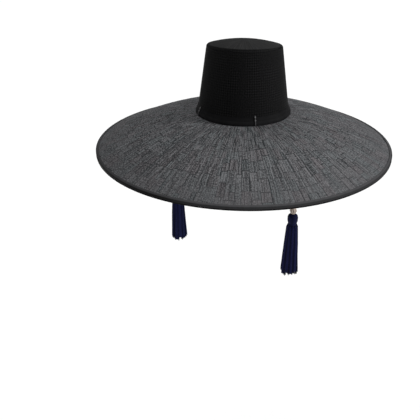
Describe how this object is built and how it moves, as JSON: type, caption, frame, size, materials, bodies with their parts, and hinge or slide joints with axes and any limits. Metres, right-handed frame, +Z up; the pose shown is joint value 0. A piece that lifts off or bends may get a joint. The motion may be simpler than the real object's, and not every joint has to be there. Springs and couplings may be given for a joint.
{
  "type": "korean gat hat",
  "caption": "Traditional Korean gat: tall tapered hollow crown on a wide sloping round brim, with a beaded tassel hanging at each side.",
  "frame": {"origin": "centre of the crown's foot, where the hat sits on the head", "axes": "+Z up along the crown's axis, -Y towards the front, the tassels hang at -X and +X"},
  "size_m": [0.5366, 0.5368, 0.4137],
  "materials": {
    "crown_weave": "black lacquered horsehair weave, a fine square grid, matte",
    "band_cloth": "black cloth roll, slightly smoother than the crown",
    "stitch_thread": "grey thread",
    "brim_weave": "grey-black fine radial strands with short cross dashes, matte",
    "binding": "smooth dark bound edge, satin",
    "navy_cord": "navy twisted silk cord",
    "bead": "pale beige carved bead, soft polish",
    "tassel_silk": "navy silk strands with a soft sheen"
  },
  "bodies": {
    "root": {"crown": "crown_weave", "crown_band": "band_cloth", "band_stitch_left": "stitch_thread", "band_stitch_right": "stitch_thread", "brim": "brim_weave", "brim_binding": "binding", "cord_knot_left": "navy_cord", "cord_knot_right": "navy_cord", "cord_left": "navy_cord", "cord_right": "navy_cord", "bead_left": "bead", "bead_right": "bead", "tassel_left": "tassel_silk", "tassel_right": "tassel_silk"}
  },
  "joints": []
}
